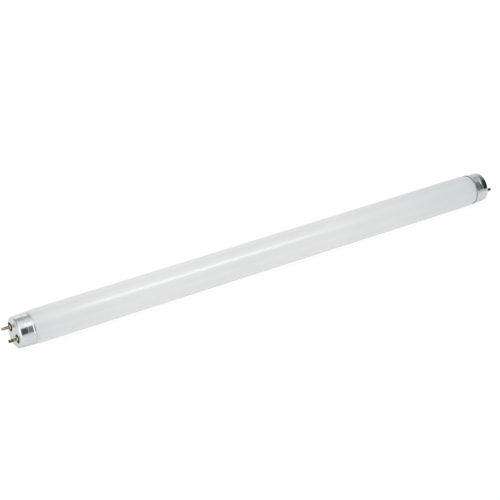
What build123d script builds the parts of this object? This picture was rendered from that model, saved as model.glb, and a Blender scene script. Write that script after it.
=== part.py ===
from build123d import *
import os
from math import acos, cos, sin, sqrt

# A straight ultraviolet fluorescent lamp for an insect killer, with a two-pin cap on each end.
# It lies along X with its middle at the origin, and the two pins of each cap lie side by side along Y.
# An end is drawn once, at depths that run from the cap's face into the lamp, and serves both ends.

# Glass tube, all sizes in millimetres
face_to_face = 437.4  # between the faces of the two caps
glass_dia = 26.0
shoulder_round = 26.0  # radius of the tube's side where it draws in towards the cap
neck_blend = 3.0  # radius between that curve and the straight neck
neck_len = 1.2
glass_edge = 0.4  # round on the edges of the glass inside the cap

# Stem that turns back into the glass, with the sealed exhaust tip in it
stem_depth = 12.0
stem_margin = 1.3  # room between the wires and the mouth of the stem
exhaust_dia = 3.0
exhaust_len = 7.0

# Cap shell, drawn from aluminium sheet
cap_len = 12.7
cap_step = 0.7  # the cap's wall lies this far inside the line of the glass
shell_wall = 0.35
face_round = 2.0  # outer radius between the face and the wall
lip_len = 1.6
flare_len = 1.0  # part of the lip that leads from the wall out to its full size
lip_rise = 0.34
groove_width = 1.0
groove_depth = 0.2
pin_hole_dia = 7.2

# Punch marks round the cap, near its lip
punch_count = 3
punch_angle = 162.0  # of the first mark, from +Y towards +Z
punch_dia = 2.2  # of the punch's ball
punch_depth = 0.18
punch_to_lip = 0.9

# Contact pins, hollow and riveted through the insulating disc
pin_spacing = 12.7
pin_dia = 2.35
pin_len = 7.1  # from the cap's face to the tip
pin_tip_flat = 0.55  # diameter that stays flat on the rounded tip
pin_tip_wall = 0.6
collar_dia = 3.1
collar_thick = 0.3
shank_dia = 3.0  # of the pin inside the disc
rivet_dia = 4.0
rivet_thick = 0.5

# Lead wires and basing cement
wire_dia = 0.6
wire_bend = 1.5
cement_thick = 0.95
cement_len = 2.8

# Clearances
fit_gap = 0.1
mouth_gap = 0.15  # between the glass and the lip or wall of the cap
wire_gap = 0.4
rivet_gap = 0.6  # between the riveted heads and the glass

# Radii that follow from these
glass_r = glass_dia / 2
cap_r = glass_r - cap_step
cap_inner_r = cap_r - shell_wall
mouth_r = cap_inner_r + lip_rise
neck_r = cap_inner_r - cement_thick
pin_r = pin_dia / 2
wire_r = wire_dia / 2
exhaust_r = exhaust_dia / 2
pin_bore_r = wire_r + wire_gap
wire_y = exhaust_r + wire_gap + wire_r
stem_floor_r = wire_y + wire_r + wire_gap
stem_mouth_r = pin_spacing / 2 + wire_r + stem_margin

# Angle at which the shoulder and the neck's blend meet, and the radius there
meet_angle = acos(1 - (glass_r - neck_r) / (shoulder_round + neck_blend))
meet_r = neck_r + neck_blend * (1 - cos(meet_angle))


def shoulder_run(drop):
    """Length along the lamp in which the shoulder draws in by drop."""
    return sqrt(shoulder_round**2 - (shoulder_round - drop) ** 2)


# Depths from the cap's face: the glass draws in just enough to clear the cap, and the disc fills what is left
lip_start = cap_len - lip_len
shoulder_end = max(
    cap_len + shoulder_run(glass_r - mouth_r + mouth_gap),
    lip_start + shoulder_run(glass_r - cap_inner_r + mouth_gap),
)
meet_depth = shoulder_end - shoulder_round * sin(meet_angle)
neck_top = meet_depth - neck_blend * sin(meet_angle)
glass_end = neck_top - neck_len
stem_floor = glass_end + stem_depth
rivet_end = glass_end - rivet_gap
disc_back = rivet_end - rivet_thick
groove_mid = disc_back + groove_width / 2
groove_end = disc_back + groove_width


def bar(radius, start, end, y=0):
    """Round bar that runs along the lamp between two depths."""
    return Pos((start + end) / 2, y, 0) * Rot(0, 90, 0) * Cylinder(radius, end - start)


def s_bend(start, end):
    """Draw two arcs that lead from one line along the lamp to another further in or out."""
    middle = ((start[0] + end[0]) / 2, (start[1] + end[1]) / 2)
    first = TangentArc(start, middle, tangent=(1, 0))
    TangentArc(middle, end, tangent=first % 1)


def shoulder_arcs(grow=0):
    """Draw the glass from the top of its neck out to the full tube, grown outwards by grow."""
    meet = (meet_depth - grow * sin(meet_angle), meet_r + grow * cos(meet_angle))
    blend = TangentArc((neck_top, neck_r + grow), meet, tangent=(1, 0))
    TangentArc(meet, (shoulder_end, glass_r + grow), tangent=blend % 1)


def glass_tube():
    """Sealed bulb: a straight tube drawn in to a neck at each end, where its stem turns back inside."""
    middle = face_to_face / 2
    tip = stem_floor - exhaust_len
    with BuildPart() as glass:
        with BuildSketch():
            with BuildLine():
                TangentArc((tip, 0), (tip + exhaust_r, exhaust_r), tangent=(0, 1))
                FilletPolyline(
                    (tip + exhaust_r, exhaust_r),
                    (stem_floor, exhaust_r),
                    (stem_floor, stem_floor_r),
                    (glass_end, stem_mouth_r),
                    (glass_end, neck_r),
                    (neck_top, neck_r),
                    radius=glass_edge,
                )
                shoulder_arcs()
                Line((shoulder_end, glass_r), (middle, glass_r))
                mirror(about=Plane.YZ.offset(middle))
                Line((tip, 0), (face_to_face - tip, 0))
            make_face()
        revolve(axis=Axis.X)
    return Pos(-middle, 0, 0) * glass.part


def shell_side(depth):
    """Draw one side of the cap's sheet from the axis to the mouth: depth 0 is the outside."""
    wall_r = cap_r - depth
    corner_r = cap_r - face_round
    Line((depth, 0), (depth, corner_r))
    TangentArc((depth, corner_r), (face_round, wall_r), tangent=(0, 1))
    Line((face_round, wall_r), (disc_back, wall_r))
    s_bend((disc_back, wall_r), (groove_mid, wall_r - groove_depth))
    s_bend((groove_mid, wall_r - groove_depth), (groove_end, wall_r))
    Line((groove_end, wall_r), (lip_start, wall_r))
    s_bend((lip_start, wall_r), (lip_start + flare_len, wall_r + lip_rise))
    edge = (cap_len - shell_wall / 2, wall_r + lip_rise)
    Line((lip_start + flare_len, wall_r + lip_rise), edge)
    return edge


def cap_shell():
    """Aluminium cup with two holes in its face, a groove behind the disc and a flared, rounded lip."""
    with BuildPart() as shell:
        with BuildSketch():
            with BuildLine():
                outer_edge = shell_side(0)
                inner_edge = shell_side(shell_wall)
                ThreePointArc(outer_edge, (cap_len, mouth_r + shell_wall / 2), inner_edge)
                Line((0, 0), (shell_wall, 0))
            make_face()
        revolve(axis=Axis.X)
    cup = shell.part
    for y in (-pin_spacing / 2, pin_spacing / 2):
        cup -= bar(pin_hole_dia / 2, -shell_wall, 2 * shell_wall, y)
    ball_height = cap_r + punch_dia / 2 - punch_depth
    for mark in range(punch_count):
        turn = Rot(punch_angle + 360 / punch_count * mark, 0, 0)
        cup -= turn * Pos(lip_start - punch_to_lip, ball_height, 0) * Sphere(punch_dia / 2)
    return cup


def insulator():
    """Moulded disc that fills the cap from its face to its groove and carries the pins."""
    disc = bar(cap_inner_r - fit_gap, shell_wall, disc_back)
    disc = fillet(disc.edges().sort_by(Axis.X)[0], face_round)
    for y in (-pin_spacing / 2, pin_spacing / 2):
        disc -= bar(shank_dia / 2 + fit_gap, 0, rivet_end, y)
    return disc


def contact_pin(y):
    """Hollow brass pin: rounded tip, a collar before the disc, a shank through it and a rivet head behind."""
    pin = bar(pin_r, -pin_len, shell_wall, y)
    pin = fillet(pin.edges().sort_by(Axis.X)[0], pin_r - pin_tip_flat / 2)
    pin += bar(collar_dia / 2, shell_wall - collar_thick, shell_wall, y)
    pin += bar(shank_dia / 2, shell_wall, rivet_end, y)
    pin += bar(rivet_dia / 2, disc_back, rivet_end, y)
    return pin - bar(pin_bore_r, pin_tip_wall - pin_len, rivet_end, y)


def lead_wire(y):
    """Wire that leaves the stem beside the exhaust tip, spreads to its pin and runs to the pin's tip."""
    side = y / abs(y)
    route = FilletPolyline(
        (stem_floor - fit_gap, side * wire_y),
        ((stem_floor + glass_end) / 2, side * wire_y),
        (glass_end, y),
        (pin_tip_wall + fit_gap - pin_len, y),
        radius=wire_bend,
    )
    return sweep(Plane(route @ 0, z_dir=route % 0) * Circle(wire_r), path=route)


def cement_ring():
    """Ring of hard cement between the neck of the glass and the wall of the cap."""
    start = groove_end + fit_gap
    with BuildPart() as glass_space:
        with BuildSketch():
            with BuildLine():
                shoulder_arcs(grow=fit_gap)
                Polyline(
                    (neck_top, neck_r + fit_gap),
                    (disc_back, neck_r + fit_gap),
                    (disc_back, 0),
                    (shoulder_end, 0),
                    (shoulder_end, glass_r + fit_gap),
                )
            make_face()
        revolve(axis=Axis.X)
    return bar(cap_inner_r - fit_gap, start, start + cement_len) - glass_space.part


os.makedirs("parts", exist_ok=True)
export_step(glass_tube(), "parts/glass_tube.step")
for end, turn in (("left", 0), ("right", 180)):
    place = Rot(0, 0, turn) * Pos(-face_to_face / 2, 0, 0)
    pieces = {"cap_shell": cap_shell(), "insulator": insulator(), "cement_ring": cement_ring()}
    # Turning an end about Z swaps the sides of its two pins
    front_y = -pin_spacing / 2 if end == "left" else pin_spacing / 2
    for side, y in (("front", front_y), ("rear", -front_y)):
        pieces[f"{side}_pin"] = contact_pin(y)
        pieces[f"{side}_lead_wire"] = lead_wire(y)
    for name, piece in pieces.items():
        export_step(place * piece, f"parts/{end}_{name}.step")
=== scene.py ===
from math import acos, cos, degrees, pi, radians, sin

import bmesh
import bpy
from mathutils import Matrix, Vector


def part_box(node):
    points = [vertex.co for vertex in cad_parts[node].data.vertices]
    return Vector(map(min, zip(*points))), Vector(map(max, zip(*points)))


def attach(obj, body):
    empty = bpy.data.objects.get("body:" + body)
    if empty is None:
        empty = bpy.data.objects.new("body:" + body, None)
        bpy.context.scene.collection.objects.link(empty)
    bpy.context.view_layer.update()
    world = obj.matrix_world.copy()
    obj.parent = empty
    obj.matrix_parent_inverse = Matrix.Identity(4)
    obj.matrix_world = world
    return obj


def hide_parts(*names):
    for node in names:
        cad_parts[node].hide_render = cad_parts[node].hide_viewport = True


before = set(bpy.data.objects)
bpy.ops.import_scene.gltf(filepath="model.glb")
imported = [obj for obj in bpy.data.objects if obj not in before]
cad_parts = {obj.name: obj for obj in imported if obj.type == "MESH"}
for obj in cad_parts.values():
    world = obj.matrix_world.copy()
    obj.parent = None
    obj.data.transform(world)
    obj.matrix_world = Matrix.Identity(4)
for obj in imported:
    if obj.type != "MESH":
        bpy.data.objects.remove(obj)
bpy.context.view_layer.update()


# Glass tube: clear glass with a white powder coat inside, drawn in to a neck at both ends, where the stem
# with its exhaust tip is fused on. It is turned from one section, and the caps hide its two ends.
# Sections are in millimetres: depth from a cap's face into the lamp, then distance from the axis.


class Wire:
    """A socket of a node tree. Sums on it add Math nodes, and node() adds any other node."""

    def __init__(self, tree, socket=None):
        self.tree = tree
        self.socket = socket

    def node(self, kind, settings=None, sockets=None, out=0):
        """Add a node: its settings first, then the value or the link of each socket named."""
        added = self.tree.nodes.new(kind)
        for name, value in (settings or {}).items():
            if name == "stops":
                while len(added.color_ramp.elements) < len(value):
                    added.color_ramp.elements.new(1.0)
                for element, (place, shade) in zip(added.color_ramp.elements, value):
                    element.position = place
                    element.color = (*shade, 1.0)
            else:
                setattr(added, name, value)
        for name, value in (sockets or {}).items():
            if isinstance(value, Wire):
                self.tree.links.new(value.socket, added.inputs[name])
            else:
                added.inputs[name].default_value = value
        return Wire(self.tree, added.outputs[out] if added.outputs else None)

    def math(self, operation, other=0.0):
        return self.node("ShaderNodeMath", {"operation": operation}, {0: self, 1: other})

    def __add__(self, other):
        return self.math("ADD", other)

    def __sub__(self, other):
        return self.math("SUBTRACT", other)

    def __mul__(self, other):
        return self.math("MULTIPLY", other)

    def __truediv__(self, other):
        return self.math("DIVIDE", other)

    def __pow__(self, other):
        return self.math("POWER", other)

    def __rsub__(self, other):
        return self.node("ShaderNodeMath", {"operation": "SUBTRACT"}, {0: other, 1: self})

    def __rtruediv__(self, other):
        return self.node("ShaderNodeMath", {"operation": "DIVIDE"}, {0: other, 1: self})

    __radd__ = __add__
    __rmul__ = __mul__

    def axis(self, number):
        """X, Y or Z of a place or a direction, by its number from 0."""
        return self.node("ShaderNodeSeparateXYZ", {}, {0: self}, out=number)

    def between(self, low, high):
        """Rise smoothly from 0 where the value is at or under low, to 1 at high."""
        ends = {"Value": self, "From Min": low, "From Max": high}
        return self.node("ShaderNodeMapRange", {"interpolation_type": "SMOOTHSTEP"}, ends)

    def blend(self, none, full):
        """Colour none where the value is 0, and full where it is 1."""
        return self.node("ShaderNodeMix", {"data_type": "RGBA"}, {0: self, 6: none, 7: full}, out=2)

    def noise(self, scale, detail):
        """Noise over the place that the wire carries."""
        return self.node("ShaderNodeTexNoise", {}, {"Vector": self, "Scale": scale, "Detail": detail})

    def bump(self, strength, distance):
        """Normal of a surface with the wire as its height."""
        sockets = {"Strength": strength, "Distance": distance, "Height": self}
        return self.node("ShaderNodeBump", {}, sockets)


def geometry_tree(name, sizes):
    """Empty tree of geometry nodes with named inputs: (tree, its wires, its group input)."""
    tree = bpy.data.node_groups.new(name, "GeometryNodeTree")
    tree.interface.new_socket("Geometry", in_out="INPUT", socket_type="NodeSocketGeometry")
    for label, kind in sizes.items():
        tree.interface.new_socket(label, in_out="INPUT", socket_type="NodeSocket" + kind)
    tree.interface.new_socket("Geometry", in_out="OUTPUT", socket_type="NodeSocketGeometry")
    given = tree.nodes.new("NodeGroupInput")
    return tree, Wire(tree), {socket.name: Wire(tree, socket) for socket in given.outputs}


# A section is turned about X on a grid of its points by the steps round, with a row of shallow dents where
# one is asked for, and copied across the lamp as often as the piece has copies.
turning, wires, given = geometry_tree(
    "Turned from a section",
    {
        "Steps round": "Int",
        "Dents": "Int",
        "First dent": "Float",
        "Dent along": "Float",
        "Dent radius": "Float",
        "Dent depth": "Float",
        "Copies": "Int",
        "Spacing": "Float",
        "Finish": "Material",
    },
)
place = wires.node("GeometryNodeInputPosition")
drawn = given["Geometry"]
points = wires.node("GeometryNodeAttributeDomainSize", {"component": "MESH"}, {"Geometry": drawn})
rows = given["Steps round"] + 1
grid = wires.node("GeometryNodeMeshGrid", {}, {"Vertices X": points, "Vertices Y": rows})
index = wires.node("GeometryNodeInputIndex")
column = ((index + 0.5) / rows).math("FLOOR")
row = index - column * rows
sampled = wires.node(
    "GeometryNodeSampleIndex",
    {"data_type": "FLOAT_VECTOR", "domain": "POINT"},
    {"Geometry": drawn, "Value": place, "Index": column},
)
along = sampled.axis(0)
out = sampled.axis(1)
angle = row * (2 * pi) / given["Steps round"]
dent_turns = (angle - given["First dent"]) * given["Dents"] / (2 * pi)
across = (dent_turns - dent_turns.math("ROUND")) * (2 * pi) / given["Dents"] * out
beside = along - given["Dent along"]
dent = (1 - (across * across + beside * beside) / given["Dent radius"] ** 2).math("MAXIMUM", 0.0)
out = out - given["Dent depth"] * dent * dent
turned = wires.node(
    "ShaderNodeCombineXYZ", {}, {0: along, 1: out * angle.math("COSINE"), 2: out * angle.math("SINE")}
)
surface = wires.node("GeometryNodeSetPosition", {}, {"Geometry": grid, "Position": turned})
surface = wires.node("GeometryNodeMergeByDistance", {}, {"Geometry": surface, "Distance": 1e-6})
first = wires.node("ShaderNodeCombineXYZ", {}, {1: given["Spacing"] * (given["Copies"] - 1) * -0.5})
step = wires.node("ShaderNodeCombineXYZ", {}, {1: given["Spacing"]})
spots = wires.node(
    "GeometryNodeMeshLine", {}, {"Count": given["Copies"], "Start Location": first, "Offset": step}
)
surface = wires.node("GeometryNodeInstanceOnPoints", {}, {"Points": spots, "Instance": surface})
surface = wires.node("GeometryNodeRealizeInstances", {}, {"Geometry": surface})
surface = wires.node("GeometryNodeSetMaterial", {}, {"Geometry": surface, "Material": given["Finish"]})
wires.node("NodeGroupOutput", {}, {"Geometry": surface})


def drawn_section(name, points):
    """Object that holds a section: (depth, distance from the axis) in millimetres, joined in a row."""
    mesh = bpy.data.meshes.new(name)
    dots = [(depth * 0.001, far * 0.001, 0) for depth, far in points]
    mesh.from_pydata(dots, [(i, i + 1) for i in range(len(dots) - 1)], [])
    drawn = bpy.data.objects.new(name, mesh)
    bpy.context.scene.collection.objects.link(drawn)
    return drawn


def made(name, drawn, tree, sizes, move=None):
    """Plain mesh object that a geometry tree makes from a section, closed and facing outwards."""
    modifier = drawn.modifiers.new("Made", "NODES")
    modifier.node_group = tree
    for item in tree.interface.items_tree:
        if item.in_out == "INPUT" and item.name in sizes:
            modifier[item.identifier] = sizes[item.name]
    bpy.context.view_layer.update()
    ready = drawn.evaluated_get(bpy.context.evaluated_depsgraph_get())
    mesh = bpy.data.meshes.new_from_object(ready)
    drawn.modifiers.remove(modifier)
    bpy.data.objects.remove(drawn)
    skin = bmesh.new()
    skin.from_mesh(mesh)
    bmesh.ops.remove_doubles(skin, verts=skin.verts, dist=1e-6)
    bmesh.ops.recalc_face_normals(skin, faces=skin.faces)
    skin.to_mesh(mesh)
    skin.free()
    mesh.transform(move or Matrix())
    mesh.shade_smooth()
    piece = bpy.data.objects.new(name, mesh)
    bpy.context.scene.collection.objects.link(piece)
    return piece


def arc(middle, radius, start, end, steps):
    """Points on an arc between two angles in degrees, both ends included."""
    turns = [radians(start + (end - start) * i / steps) for i in range(steps + 1)]
    return [(middle[0] + radius * cos(turn), middle[1] + radius * sin(turn)) for turn in turns]


def run(start, end, steps):
    """Points on a straight run, without its first one."""
    shares = [(i + 1) / steps for i in range(steps)]
    return [tuple(a + (b - a) * share for a, b in zip(start, end)) for share in shares]


face_to_face = 437.4
glass_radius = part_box("glass_tube")[1].z * 1000
glass_edge = 0.4  # round on the edges of the glass
neck_radius = 11.0
neck_length = 1.2
neck_blend = 3.0  # radius between the neck and the shoulder
shoulder_round = 26.0
shoulder_end = 19.33  # where the shoulder reaches the full tube
stem_depth = 12.0
stem_floor_radius = 2.9
stem_mouth_radius = 7.35
stem_mouth_round = 0.45
stem_lean = 23  # degrees at which the rounds of the stem end, where its side leans out to its mouth
exhaust_radius = 1.5
exhaust_length = 7.0
shoulder_turn = acos(1 - (glass_radius - neck_radius) / (shoulder_round + neck_blend))
straight_start = shoulder_end + 1.0
neck_top = shoulder_end - (shoulder_round + neck_blend) * sin(shoulder_turn)
glass_end = neck_top - neck_length
stem_floor = glass_end + stem_depth
tip_middle = stem_floor - exhaust_length + exhaust_radius
shoulder_middle = (shoulder_end, glass_radius - shoulder_round)
shoulder_bend = degrees(shoulder_turn)
half_section = (
    arc((tip_middle, 0), exhaust_radius, 180, 90, 8)
    + run((tip_middle, exhaust_radius), (stem_floor - glass_edge, exhaust_radius), 2)
    + arc((stem_floor - glass_edge, exhaust_radius + glass_edge), glass_edge, -90, 0, 5)
    + arc((stem_floor - glass_edge, stem_floor_radius - glass_edge), glass_edge, 0, 90 - stem_lean, 5)
    + arc((glass_end + stem_mouth_round, stem_mouth_radius), stem_mouth_round, 270 - stem_lean, 180, 6)
    + arc((glass_end + glass_edge, neck_radius - glass_edge), glass_edge, 180, 90, 6)
    + run((glass_end + glass_edge, neck_radius), (neck_top, neck_radius), 2)
    + arc((neck_top, neck_radius + neck_blend), neck_blend, 270, 270 + shoulder_bend, 8)[1:]
    + arc(shoulder_middle, shoulder_round, 90 + shoulder_bend, 90, 24)[1:]
    + [(straight_start, glass_radius)]
)
near_half = [(depth - face_to_face / 2, far) for depth, far in half_section]
far_half = [(-depth, far) for depth, far in reversed(near_half)]
tube_section = near_half + run(near_half[-1], far_half[0], 40)[:-1] + far_half


def new_finish(name):
    """New material with an empty tree: (material, its wires)."""
    material = bpy.data.materials.new(name)
    material.use_nodes = True
    material.node_tree.nodes.clear()
    return material, Wire(material.node_tree)


def principled(wires, sockets):
    """End a material in one Principled shader with these sockets."""
    shader = wires.node("ShaderNodeBsdfPrincipled", {}, sockets)
    wires.node("ShaderNodeOutputMaterial", {}, {"Surface": shader})


# The powder is greyer towards both ends: painted shade over the outer halves, where the light falls off, and
# a thinner coat close to the caps. Painted cool shade darkens the right end, and painted light from the
# floor makes it whiter along the bottom.
coated_glass, wires = new_finish("Coated glass")
spot = wires.node("ShaderNodeTexCoord", out="Object")
along = spot.axis(0)
from_middle = along.math("ABSOLUTE")
grains = spot.noise(900.0, 3.0)
clouds = spot.noise(26.0, 2.0)
patches = clouds * 0.7 + grains * 0.3
powder = patches.between(0.3, 0.7).blend((0.765, 0.770, 0.770, 1), (0.790, 0.793, 0.792, 1))
# Painted shade over the outer halves of the tube, and a thinner coat just at the caps, both as a greyer
# powder.
end_shade_and_thin_coat = from_middle.between(0.110, 0.207) * 0.5 + from_middle.between(0.190, 0.209) * 0.5
powder = end_shade_and_thin_coat.blend(powder, (0.662, 0.690, 0.695, 1))
# Painted shade, cool-tinted, that darkens the right end of the tube.
powder = (along.between(0.04, 0.23) * 0.42).blend(powder, (0.615, 0.680, 0.685, 1))
# Painted light from the floor, which makes the powder whiter along the bottom of the tube.
painted_underside_light = 1 - spot.axis(2).between(-0.0120, 0.0060)
powder = (painted_underside_light * 0.55).blend(powder, (0.900, 0.905, 0.905, 1))
drawn_glass = spot.noise(18.0, 1.0).bump(0.25, 0.0002)
principled(
    wires,
    {"Base Color": powder, "Roughness": 0.02 + clouds * 0.04, "IOR": 1.5, "Normal": drawn_glass},
)

tube = made(
    "tube",
    drawn_section("tube_section", tube_section),
    turning,
    {"Steps round": 192, "Dents": 1, "Dent radius": 1.0, "Copies": 1, "Finish": coated_glass},
)
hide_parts("glass_tube")
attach(tube, "root")


# Lead wires: two plated wires at each end that come out of the stem and run through the hollow pins. Their
# solids have the real shape and keep it here.
ends = ("left", "right")


def dress(finish, names):
    """Put a finish on solids that keep their own shape."""
    for name in names:
        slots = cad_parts[name].data.materials
        slots.clear()
        slots.append(finish)


plated_wire, wires = new_finish("Plated wire")
spot = wires.node("ShaderNodeTexCoord", out="Object")
dull = spot.noise(1500.0, 4.0)
principled(
    wires,
    {
        "Base Color": dull.between(0.35, 0.7).blend((0.68, 0.66, 0.62, 1), (0.52, 0.48, 0.42, 1)),
        "Metallic": 1.0,
        "Roughness": 0.3 + dull * 0.25,
    },
)
dress(plated_wire, [f"{end}_{side}_lead_wire" for end in ends for side in ("front", "rear")])


# Insulating discs: a dark brown moulding in each cap, close behind its face, which shows in the two holes.
# The solids stay, with the speckled finish of a filled resin.
brown_moulding, wires = new_finish("Brown moulding")
spot = wires.node("ShaderNodeTexCoord", out="Object")
filler = spot.noise(1400.0, 5.0)
principled(
    wires,
    {
        "Base Color": filler.between(0.4, 0.7).blend((0.013, 0.011, 0.008, 1), (0.038, 0.033, 0.024, 1)),
        "Roughness": 0.55 + filler * 0.2,
        "Specular IOR Level": 0.2,
        "Normal": filler.bump(0.4, 0.0001),
    },
)
dress(brown_moulding, [f"{end}_insulator" for end in ends])


# Contact pins: hollow brass with a rounded tip, pinched on to the wire from two sides, with a collar just
# outside the cap's face and a riveted head behind the disc. The brass is tarnished, and at the front pins
# brown at the tip.
pin_spacing = 12.7
pin_radius = 1.175
pin_reach = 7.1  # from the cap's face to the tip
tip_round = 0.8
tip_wall = 0.6
tip_dimple = ((0.14, 0.0), (0.13, 0.10), (0.07, 0.22), (0.0, 0.34))  # how deep, and how far from the axis
bore_radius = 0.7
pinch_middle = -3.6
pinch_radius = 1.3
pinch_depth = 0.26
collar_radius = 1.45
collar_front = -0.35
collar_back = -0.05
collar_round = 0.12
root_round = 0.1  # where the pin meets its collar
sheet = 0.35  # thickness of the cap's wall, behind which the disc starts
shank_radius = 1.5
rivet_radius = 2.0
rivet_thick = 0.5
rivet_bevel = 0.15
rivet_gap = 0.6  # between the riveted heads and the glass
rivet_end = glass_end - rivet_gap
disc_back = rivet_end - rivet_thick
round_start = tip_round - pin_reach
root_start = collar_front - root_round
bore_end = tip_wall - pin_reach
pin_section = (
    [(deep - pin_reach, far) for deep, far in tip_dimple]
    + arc((round_start, pin_radius - tip_round), tip_round, 175, 90, 10)
    + run((round_start, pin_radius), (pinch_middle - pinch_radius, pin_radius), 3)
    + run((pinch_middle - pinch_radius, pin_radius), (pinch_middle + pinch_radius, pin_radius), 24)
    + run((pinch_middle + pinch_radius, pin_radius), (root_start, pin_radius), 4)
    + arc((root_start, pin_radius + root_round), root_round, 270, 360, 4)
    + [(collar_front, collar_radius - collar_round)]
    + arc((collar_front + collar_round, collar_radius - collar_round), collar_round, 180, 90, 5)
    + [(collar_back, collar_radius), (collar_back, pin_radius), (sheet, pin_radius)]
    + [(sheet, shank_radius), (disc_back, shank_radius), (disc_back, rivet_radius)]
    + [(rivet_end - rivet_bevel, rivet_radius), (rivet_end, rivet_radius - rivet_bevel)]
    + [(rivet_end, bore_radius), (bore_end, bore_radius), (bore_end, 0.0)]
)

# Tarnished in patches, with a painted highlight next to the collar and painted shade in the hole, brown at
# the front pins' tips and brassy to the tip at the rear ones, and darkened altogether at the right end by
# painted shade.
tarnished_brass, wires = new_finish("Tarnished brass")
spot = wires.node("ShaderNodeTexCoord", out="Object")
along = spot.axis(0)
rear = spot.axis(1).between(-0.001, 0.001)
to_tip = along.math("ABSOLUTE") - face_to_face / 2000
stain = spot.noise(620.0, 5.0)
old = stain.between(0.36, 0.58)
metal = old.blend((0.46, 0.385, 0.19, 1), (0.16, 0.120, 0.048, 1))
# Painted highlight: a pale, bright band on the brass next to the collar.
painted_collar_highlight = 1 - to_tip.between(0.0004, 0.0012)
metal = painted_collar_highlight.blend(metal, (0.90, 0.85, 0.66, 1))
# Painted shade: the pin is near black where it goes into the hole.
root = 1 - to_tip.between(-0.00004, 0.00006)
metal = root.blend(metal, (0.030, 0.026, 0.018, 1))
metal = (rear * to_tip.between(0.0030, 0.0050) * 0.5).blend(metal, (0.72, 0.63, 0.38, 1))
burnt = (to_tip + stain * 0.003 - rear * 0.003).between(0.0056, 0.0084)
metal = burnt.blend(metal, (0.20, 0.11, 0.075, 1))
# Painted shade: the pins at the right end are darkened almost to black.
metal = (along.between(0.0, 0.2) * 0.75).blend(metal, (0.050, 0.045, 0.032, 1))
principled(
    wires,
    {
        "Base Color": metal,
        "Metallic": 1.0,
        "Roughness": 0.22 + old * 0.18 + burnt * 0.15,
        "Normal": spot.noise(2600.0, 3.0).bump(0.3, 0.00005),
    },
)

left_face = Matrix.Translation((-face_to_face / 2000, 0, 0))
end_places = {"left": left_face, "right": Matrix.Rotation(pi, 4, "Z") @ left_face}
for end in ends:
    pins = made(
        f"{end}_pins",
        drawn_section("pin_section", pin_section),
        turning,
        {
            "Steps round": 96,
            "Dents": 2,
            "First dent": pi / 2,
            "Dent along": pinch_middle / 1000,
            "Dent radius": pinch_radius / 1000,
            "Dent depth": pinch_depth / 1000,
            "Copies": 2,
            "Spacing": pin_spacing / 1000,
            "Finish": tarnished_brass,
        },
        end_places[end],
    )
    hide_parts(f"{end}_front_pin", f"{end}_rear_pin")
    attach(pins, "root")


# Cap shells: cups drawn from bright aluminium sheet, with two punched holes in the face, a groove rolled in
# behind the disc, three punch marks and a flared, rounded lip. The sheet is one skin, in and out.
cap_radius = 12.3
cap_length = 12.7
face_round = 1.8
rim_start = 5.3  # from here towards the face the wall leans in a little before it rounds over
rim_lean = 4.0  # degrees by which it leans where the round starts
rim_slope = sin(radians(rim_lean))
lean_blend = 1.0  # length in which the lean sets in
groove_start = disc_back
groove_width = 0.9
groove_depth = 0.05
lip_start = 11.1
flare_length = 1.0
lip_rise = 0.34
mark_count = 3
mark_angle = 162  # degrees of the first mark, from +Y towards +Z at the left end
mark_middle = lip_start - 0.9
mark_radius = 0.75
mark_depth = 0.18
hole_radius = 3.6
hole_edge = 0.1

# How far from a bend the nearest ring of the straight sheet lies, which keeps its shading straight
face_hold = 0.03
groove_hold = 0.1
flare_hold = 0.05
after_flare_hold = 0.1
lip_hold = 0.04
hole_hold = 0.03

lean_drop = (rim_start - lean_blend / 2 - face_round * (1 - rim_slope)) * rim_slope
face_edge = cap_radius - lean_drop - face_round * cos(radians(rim_lean))
face_ring = face_edge - 0.11  # inside this the face is one flat piece
hole_ring = hole_radius + 0.19  # and outside this round each hole


def bend(start, end, steps=8):
    """Points on a smooth step from one distance to another, both ends included."""
    shares = [(1 - cos(pi * i / steps)) / 2 for i in range(steps + 1)]
    length, rise = end[0] - start[0], end[1] - start[1]
    return [(start[0] + length * i / steps, start[1] + rise * share) for i, share in enumerate(shares)]


def sheet_side(depth):
    """One side of the sheet from its flat face to its lip: depth 0 is the outside."""
    wall = cap_radius - depth
    rounded = arc((face_round, face_edge), face_round - depth, 180, 90 + rim_lean, 14)
    drop = rim_slope * lean_blend / 2
    shares = [1 - i / 10 for i in range(1, 11)]
    blending = [(rim_start - lean_blend * share, wall - drop * share**2) for share in shares]
    groove_middle, groove_end = groove_start + groove_width / 2, groove_start + groove_width
    marks_start = mark_middle - mark_radius - 0.05
    flare_end = lip_start + flare_length
    lip_rings = (flare_end + after_flare_hold, cap_length - sheet / 2 - lip_hold)
    return (
        [(depth, face_ring), (depth, face_edge - face_hold)]
        + rounded
        + run(rounded[-1], (rim_start - lean_blend, wall - drop), 5)
        + blending
        + run((rim_start, wall), (groove_start - groove_hold, wall), 3)
        + bend((groove_start, wall), (groove_middle, wall - groove_depth))
        + bend((groove_middle, wall - groove_depth), (groove_end, wall))[1:]
        + run((groove_end, wall), (marks_start, wall), 4)
        + run((marks_start, wall), (lip_start - flare_hold, wall), 12)
        + bend((lip_start, wall), (flare_end, wall + lip_rise), 14)
        + [(ring, wall + lip_rise) for ring in lip_rings]
    )


lip_middle = (cap_length - sheet / 2, cap_radius + lip_rise - sheet / 2)
shell_section = (
    sheet_side(0) + arc(lip_middle, sheet / 2, 90, -90, 10) + list(reversed(sheet_side(sheet)))
)
round_middle = hole_radius + hole_edge
hole_section = (
    [(0, hole_ring), (0, round_middle + hole_hold)]
    + arc((hole_edge, round_middle), hole_edge, 180, 270, 5)
    + arc((sheet - hole_edge, round_middle), hole_edge, 270, 360, 5)
    + [(sheet, round_middle + hole_hold), (sheet, hole_ring)]
)

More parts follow.
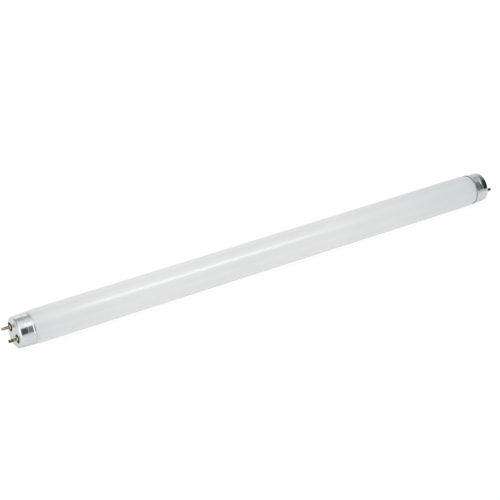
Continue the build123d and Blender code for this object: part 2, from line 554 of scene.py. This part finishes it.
# The cup: its turned wall, the turned edges of its two holes, and the flat face filled in between them.
cup, wires, given = geometry_tree(
    "Cup with two holes",
    {
        "Steps round": "Int",
        "Hole edge": "Object",
        "Hole radius": "Float",
        "Hole steps": "Int",
        "Spacing": "Float",
        "Face radius": "Float",
        "Sheet": "Float",
        "Dents": "Int",
        "First dent": "Float",
        "Dent along": "Float",
        "Dent radius": "Float",
        "Dent depth": "Float",
        "Finish": "Material",
    },
)


def circle(steps, radius):
    """Curve round the middle with this many steps."""
    return wires.node("GeometryNodeCurvePrimitiveCircle", {}, {"Resolution": steps, "Radius": radius})


def joined(parts):
    """Join Geometry of several wires."""
    join = wires.tree.nodes.new("GeometryNodeJoinGeometry")
    for part in parts:
        wires.tree.links.new(part.socket, join.inputs[0])
    return Wire(wires.tree, join.outputs[0])


wall_inputs = {name: given[name] for name in given if name.startswith("Dent") or name == "First dent"}
wall_inputs.update({"Geometry": given["Geometry"], "Steps round": given["Steps round"], "Copies": 1})
wall = wires.node("GeometryNodeGroup", {"node_tree": turning}, wall_inputs)
edge = wires.node("GeometryNodeObjectInfo", {}, {"Object": given["Hole edge"]}, out="Geometry")
edges = wires.node(
    "GeometryNodeGroup",
    {"node_tree": turning},
    {
        "Geometry": edge,
        "Steps round": given["Hole steps"],
        "Dents": 1,
        "Dent radius": 1.0,
        "Copies": 2,
        "Spacing": given["Spacing"],
    },
)
outlines = [circle(given["Steps round"], given["Face radius"])]
hole = circle(given["Hole steps"], given["Hole radius"])
for side in (-0.5, 0.5):
    moved = wires.node("ShaderNodeCombineXYZ", {}, {0: given["Spacing"] * side})
    outlines.append(wires.node("GeometryNodeTransform", {}, {"Geometry": hole, "Translation": moved}))
flat = wires.node("GeometryNodeFillCurve", {}, {"Curve": joined(outlines)})
flat_sides = []
for depth in (0.0, 1.0):
    moved = wires.node("ShaderNodeCombineXYZ", {}, {0: given["Sheet"] * depth})
    upright = {"Geometry": flat, "Rotation": (pi / 2, 0, pi / 2), "Translation": moved}
    flat_sides.append(wires.node("GeometryNodeTransform", {}, upright))
whole = joined([wall, edges, *flat_sides])
whole = wires.node("GeometryNodeMergeByDistance", {}, {"Geometry": whole, "Distance": 1e-6})
whole = wires.node("GeometryNodeRealizeInstances", {}, {"Geometry": whole})
whole = wires.node("GeometryNodeSetMaterial", {}, {"Geometry": whole, "Material": given["Finish"]})
wires.node("NodeGroupOutput", {}, {"Geometry": whole})

# Fine drawn lines run round the cup. Its face is duller than its wall, which is mottled from the groove on,
# where the cement behind it was baked. Painted shade darkens the edge of the lip, where it meets the glass.
bright_aluminium, wires = new_finish("Bright aluminium")
spot = wires.node("ShaderNodeTexCoord", out="Object")
stretched = wires.node("ShaderNodeMapping", {}, {"Vector": spot, "Scale": (1.0, 0.05, 0.05)})
drawn_lines = stretched.noise(6000.0, 4.0)
worn = spot.noise(700.0, 5.0)
uneven = spot.noise(240.0, 2.0)
along = spot.axis(0)
depth = face_to_face / 2000 - along.math("ABSOLUTE")
on_face = 1 - depth.between(0.0001, 0.0006)
in_groove = depth.between(0.0061, 0.0064) * (1 - depth.between(0.0075, 0.0078))
baked = depth.between(0.0066, 0.0078)
mottle = worn.between(0.38, 0.68) * baked
oxide = baked * (1 - along.between(-0.2, 0.2))
# Painted shade in the gap where the lip meets the glass.
painted_lip_shade = depth.between(0.01240, 0.01262)
metal = worn.between(0.35, 0.7).blend((0.720, 0.740, 0.738, 1), (0.670, 0.690, 0.690, 1))
metal = (mottle * 0.35).blend(metal, (0.62, 0.635, 0.65, 1))
metal = (painted_lip_shade * 0.6).blend(metal, (0.10, 0.10, 0.10, 1))
polish = 0.07 + worn.between(0.4, 0.75) * 0.04 + drawn_lines * 0.04
principled(
    wires,
    {
        "Base Color": metal,
        "Metallic": 1 - oxide * 0.18,
        "Roughness": polish + on_face * 0.24 + mottle * 0.02 + in_groove * 0.14,
        "Normal": (uneven + drawn_lines * 0.08 + worn * 0.12).bump(0.5, 0.00003),
    },
)

for end in ends:
    hole_drawn = drawn_section("hole_section", hole_section)
    cap = made(
        f"{end}_cap",
        drawn_section("shell_section", shell_section),
        cup,
        {
            "Steps round": 288,
            "Hole edge": hole_drawn,
            "Hole radius": hole_ring / 1000,
            "Hole steps": 96,
            "Spacing": pin_spacing / 1000,
            "Face radius": face_ring / 1000,
            "Sheet": sheet / 1000,
            "Dents": mark_count,
            "First dent": radians(mark_angle),
            "Dent along": mark_middle / 1000,
            "Dent radius": mark_radius / 1000,
            "Dent depth": mark_depth / 1000,
            "Finish": bright_aluminium,
        },
        end_places[end],
    )
    bpy.data.objects.remove(hole_drawn)
    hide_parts(f"{end}_cap_shell")
    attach(cap, "root")


# Basing cement: a ring of baked resin between the neck of the glass and each cap, which the cap hides. Its
# solid stays as it is.
basing_cement, wires = new_finish("Basing cement")
spot = wires.node("ShaderNodeTexCoord", out="Object")
crumbs = spot.noise(900.0, 6.0)
principled(
    wires,
    {
        "Base Color": crumbs.between(0.35, 0.7).blend((0.66, 0.59, 0.46, 1), (0.50, 0.42, 0.30, 1)),
        "Roughness": 0.85,
        "Normal": crumbs.bump(0.5, 0.0002),
    },
)
dress(basing_cement, [f"{end}_cement_ring" for end in ends])


# Floor: a sheet of white paper that the lamp lies on. It shines white by itself to the camera, and a little
# in reflections, so that only a faint shadow of the lamp is left on it.
floor_reach = 4.0
shadow_share = 0.16  # of what the floor shows is lit paper, which carries the shadow
corners = [(floor_reach * x, floor_reach * y) for x, y in ((-1, -1), (1, -1), (1, 1), (-1, 1))]
floor_mesh = bpy.data.meshes.new("floor")
floor_mesh.from_pydata([(x, y, -glass_radius / 1000) for x, y in corners], [], [(0, 1, 2, 3)])
floor = bpy.data.objects.new("floor", floor_mesh)
bpy.context.scene.collection.objects.link(floor)


def ray_kinds(wires):
    """1 for rays from the camera, for those from a mirror and for those through glass, as three wires."""
    kinds = ("Is Camera Ray", "Is Glossy Ray", "Is Transmission Ray")
    return [wires.node("ShaderNodeLightPath", out=kind) for kind in kinds]


white_paper, wires = new_finish("White paper")
seen, mirrored, through = ray_kinds(wires)
shown = (seen + mirrored * 0.25 + through).math("MINIMUM", 1.0)
paper = wires.node("ShaderNodeBsdfDiffuse", {}, {"Color": (0.92, 0.92, 0.92, 1)})
white = wires.node("ShaderNodeEmission", {}, {"Color": (1, 1, 1, 1), "Strength": 1.06})
surface = wires.node("ShaderNodeMixShader", {}, {0: shown * (1 - shadow_share), 1: paper, 2: white})
wires.node("ShaderNodeOutputMaterial", {}, {"Surface": surface})
floor_mesh.materials.append(white_paper)


# Light: a white tent. Reflections show it by the angle round the lamp, open and dark on the camera's side,
# with a narrow bright strip overhead that draws the streak along the glass and is kept off the caps. One
# soft box adds light from above and isn't seen in reflections.
world = bpy.data.worlds.new("Tent")
bpy.context.scene.world = world
world.use_nodes = True
world.node_tree.nodes.clear()
wires = Wire(world.node_tree)
toward = wires.node("ShaderNodeTexCoord", out="Generated")
to_right = toward.axis(0)
back = toward.axis(1)
up = toward.axis(2)
round_lamp = (up.math("ARCTAN2", back) / pi).math("MAXIMUM", 0.0)
brightest = 2.0  # a ramp's colours end at 1, so the shades are divided by this and multiplied back


def tent(*stops):
    """Shade of the tent by the angle round the lamp, from (share of the half turn, grey) stops."""
    shades = []
    for place, grey in stops:
        red = grey * 0.975 - 0.01  # the tent is a little short of red
        shades.append((place, (red / brightest, grey / brightest, grey / brightest)))
    return wires.node("ShaderNodeValToRGB", {"stops": shades}, {"Fac": round_lamp})


# Each tent goes from the horizon behind, over the top, to the horizon on the camera's side. They follow each
# other from left to right, by how far to the right the reflection looks.
left_tent = tent(
    (0, 0.62), (0.12, 0.58), (0.22, 0.46), (0.35, 0.60), (0.45, 1.0), (0.6, 1.5), (0.95, 1.5), (1, 1.05)
)
middle_tent = tent(
    (0, 1.04), (0.14, 1.04), (0.205, 0.38), (0.30, 0.60), (0.40, 0.93), (0.51, 1.10), (0.60, 1.12),
    (0.63, 1.13), (0.662, 0.28), (0.71, 0.10), (0.87, 0.09), (0.925, 0.75), (1, 0.9)
)
right_tent = tent(
    (0, 0.8), (0.15, 0.75), (0.27, 0.50), (0.38, 0.62), (0.46, 0.60), (0.52, 0.24), (0.80, 0.20),
    (0.86, 0.40), (0.91, 0.65), (1, 0.75)
)
end_tent = tent(
    (0, 0.8), (0.15, 0.5), (0.34, 0.22), (0.44, 0.10), (0.53, 0.03), (0.87, 0.02), (0.93, 0.6), (1, 0.7)
)
mirror_view = to_right.between(-0.35, 0.20).blend(left_tent, middle_tent)
mirror_view = to_right.between(0.45, 0.58).blend(mirror_view, right_tent)
mirror_view = to_right.between(0.615, 0.665).blend(mirror_view, end_tent)
mirror_view = wires.node(
    "ShaderNodeMix",
    {"data_type": "RGBA", "blend_type": "MULTIPLY"},
    {0: 1.0, 6: mirror_view, 7: (brightest, brightest, brightest, 1)},
    out=2,
)

# The strip runs along the lamp, just past the top on the camera's side. Reflections in the caps miss it.
strip = round_lamp.between(0.44, 0.57) * (1 - round_lamp.between(0.585, 0.601))
strip = strip * to_right.between(0.343, 0.370) * (0.78 + to_right.between(0.38, 0.43) * 0.22)
strip = strip * (1 - to_right.between(0.44, 0.545))
mirror_view = strip.blend(mirror_view, (5.0, 5.0, 5.0, 1))

# What isn't a mirror is lit by a plain grey tent, brighter low down on the camera's side.
seen, mirrored, through = ray_kinds(wires)
low_in_front = (1 - back).between(1.2, 2.0) * (1 - up.between(0.0, 0.6) * 0.5)
front_wall = low_in_front.blend((0.75, 0.75, 0.75, 1), (1.22, 1.22, 1.22, 1))
shade = mirrored.blend(front_wall, mirror_view)
shade = (seen + through).math("MINIMUM", 1.0).blend(shade, (1, 1, 1, 1))
lit = wires.node("ShaderNodeBackground", {}, {"Color": shade, "Strength": 1.0})
wires.node("ShaderNodeOutputWorld", {}, {"Surface": lit})


def looking(place, right_way, up_way, back_way):
    """Where a lamp or a camera is put that looks away from back_way."""
    turn = Matrix((right_way, up_way, back_way)).transposed().to_4x4()
    return Matrix.Translation(place) @ turn


box_place = Vector((-0.34, 0.10, 1.00))
box_aim = Vector((-0.05, 0, 0))
back_way = (box_place - box_aim).normalized()
right_way = (Vector((1, 0, 0)) - back_way * back_way.x).normalized()
light = bpy.data.lights.new("overhead_soft", "AREA")
light.shape = "RECTANGLE"
light.size = 0.45
light.size_y = 0.5
light.energy = 2.3
soft_box = bpy.data.objects.new("overhead_soft", light)
soft_box.matrix_world = looking(box_place, right_way, back_way.cross(right_way), back_way)
soft_box.visible_glossy = False
bpy.context.scene.collection.objects.link(soft_box)


# Camera: a telephoto that looks down over the left end of the lamp, as in the photograph. Its place and ways
# were fitted to both ends, the pins and the edges of the glass there.
eye = bpy.data.cameras.new("camera")
eye.sensor_width = 36.0
eye.lens = 113.33
camera = bpy.data.objects.new("camera", eye)
right_way = Vector((0.84677, -0.50570, 0.16508))
up_way = Vector((0.26393, 0.66882, 0.69500))
back_way = Vector((-0.46187, -0.54493, 0.69980))
camera.matrix_world = looking((-0.58841, -0.67472, 0.87701), right_way, up_way, back_way)
bpy.context.scene.collection.objects.link(camera)
bpy.context.scene.camera = camera
bpy.context.scene.view_settings.view_transform = "Standard"
